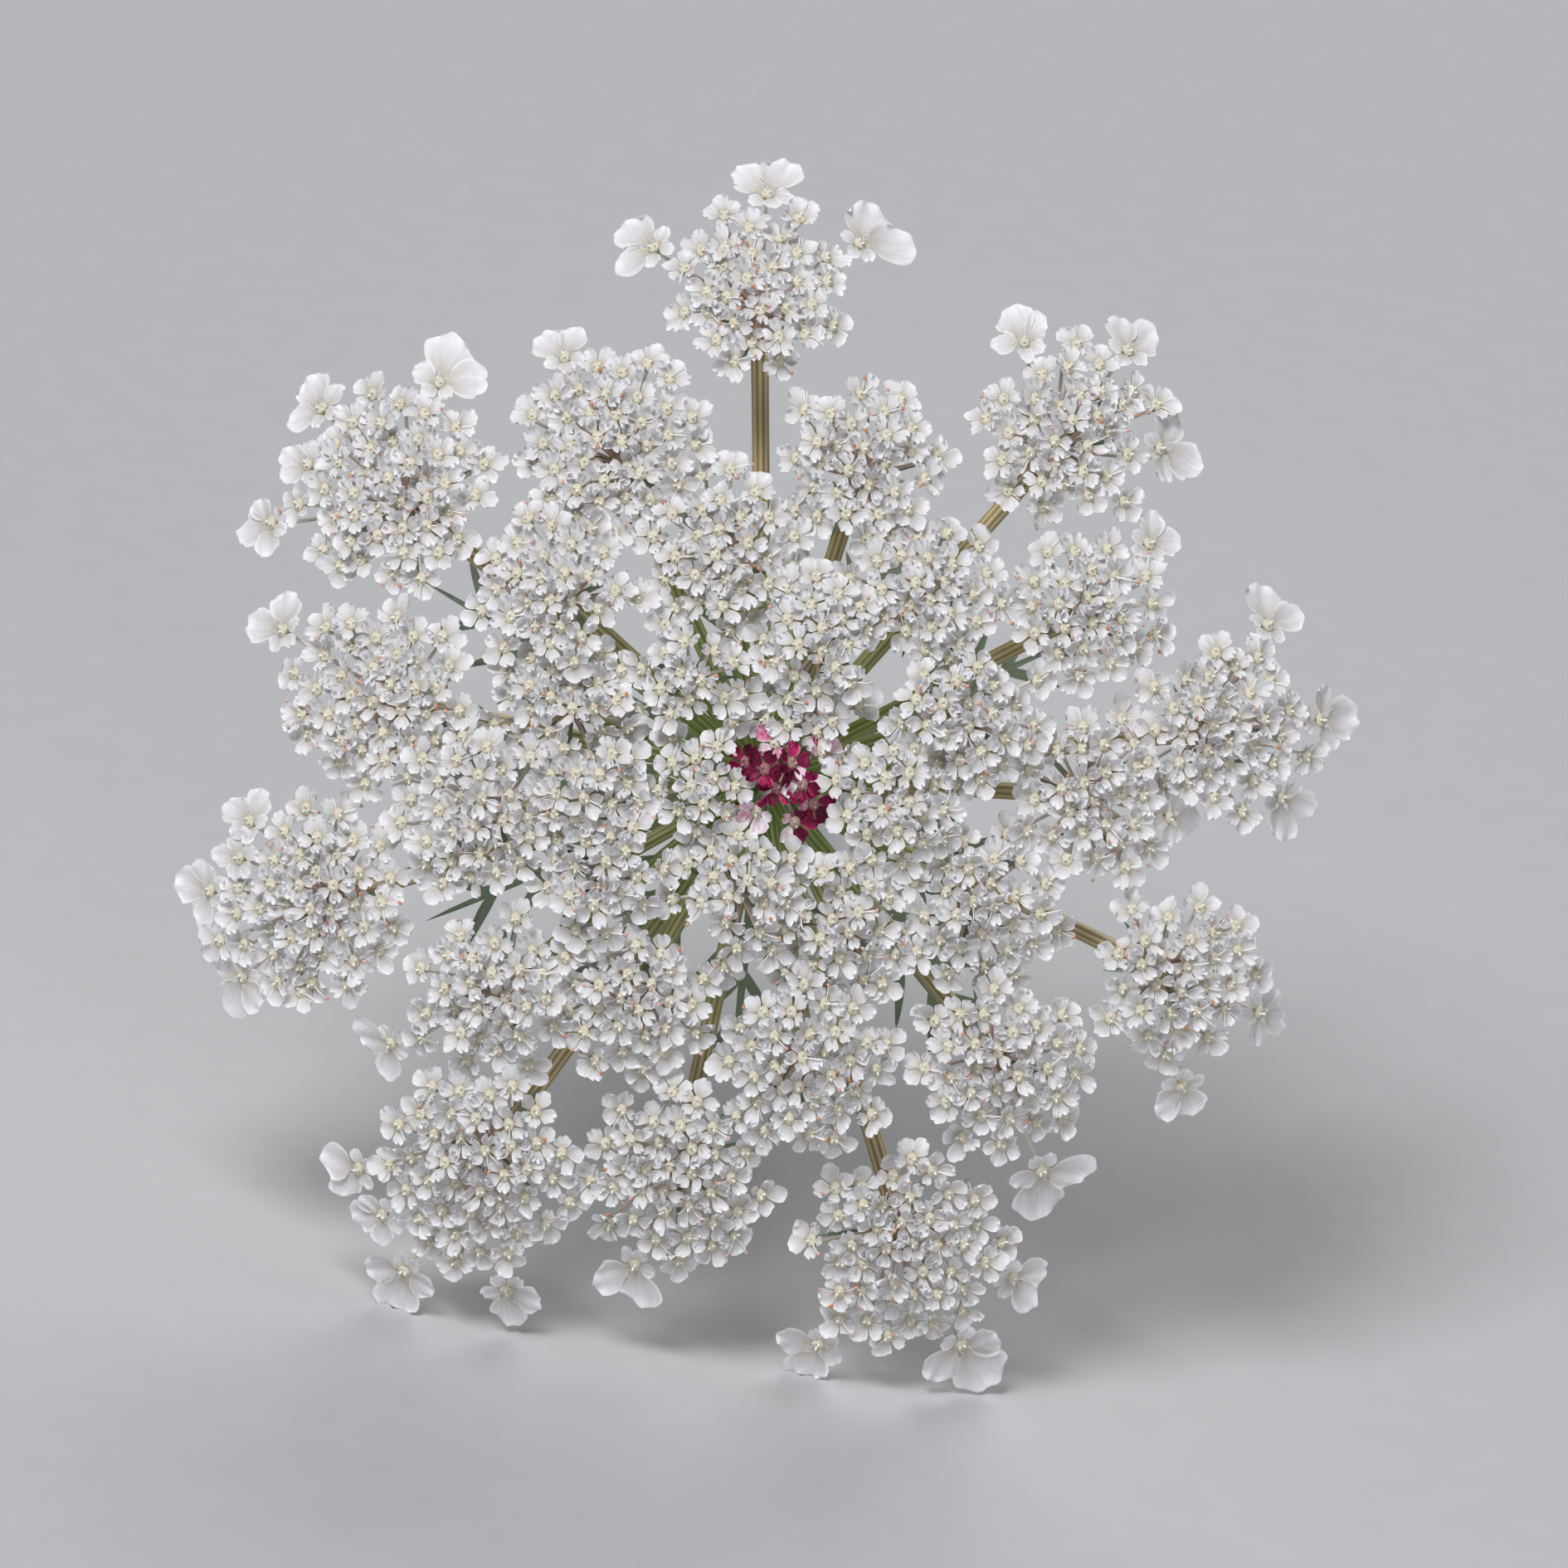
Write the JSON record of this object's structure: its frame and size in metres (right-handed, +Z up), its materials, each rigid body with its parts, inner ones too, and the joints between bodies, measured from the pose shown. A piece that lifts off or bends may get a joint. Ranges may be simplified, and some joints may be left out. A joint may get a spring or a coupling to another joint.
{
  "type": "queen annes lace flower",
  "caption": "Cut wild carrot umbel lying on its side: a domed lacy head of white florets on fine rays, with crimson florets in the middle, feathery bracts and a ridged stem.",
  "frame": {"origin": "middle of the flower's box, on the surface that it lies on", "axes": "+Z up, +Y from the face of the umbel towards the cut end of the stem"},
  "size_m": [0.0852, 0.1422, 0.0828],
  "materials": {
    "petals": "soft, slightly translucent white",
    "crimson_petals": "velvety dark crimson",
    "rays": "ribbed straw to green stalk",
    "stem": "ridged, hairy green stalk",
    "bracts": "matt grey-green leaf with purple tips"
  },
  "bodies": {
    "root": {"stem": "stem", "rays": "rays", "bract_01": "bracts", "bract_02": "bracts", "bract_03": "bracts", "bract_04": "bracts", "bract_05": "bracts", "bract_06": "bracts", "bract_07": "bracts", "bract_08": "bracts", "bract_09": "bracts", "bract_10": "bracts", "umbellet_01": "petals", "umbellet_02": "petals", "umbellet_03": "petals", "umbellet_04": "petals", "umbellet_05": "petals", "umbellet_06": "petals", "umbellet_07": "petals", "umbellet_08": "petals", "umbellet_09": "petals", "umbellet_10": "petals", "umbellet_11": "petals", "umbellet_12": "petals", "umbellet_13": "petals", "umbellet_14": "petals", "umbellet_15": "petals", "umbellet_16": "petals", "umbellet_17": "petals", "umbellet_18": "petals", "umbellet_19": "petals", "umbellet_20": "petals", "umbellet_21": "petals", "umbellet_22": "petals", "umbellet_23": "petals", "umbellet_24": "petals", "umbellet_25": "petals", "umbellet_26": "petals", "umbellet_27": "petals", "umbellet_28": "petals", "umbellet_29": "petals", "umbellet_30": "petals", "umbellet_31": "petals", "umbellet_32": "petals", "umbellet_33": "petals", "umbellet_34": "petals", "crimson_umbellet": "crimson_petals"}
  },
  "joints": []
}
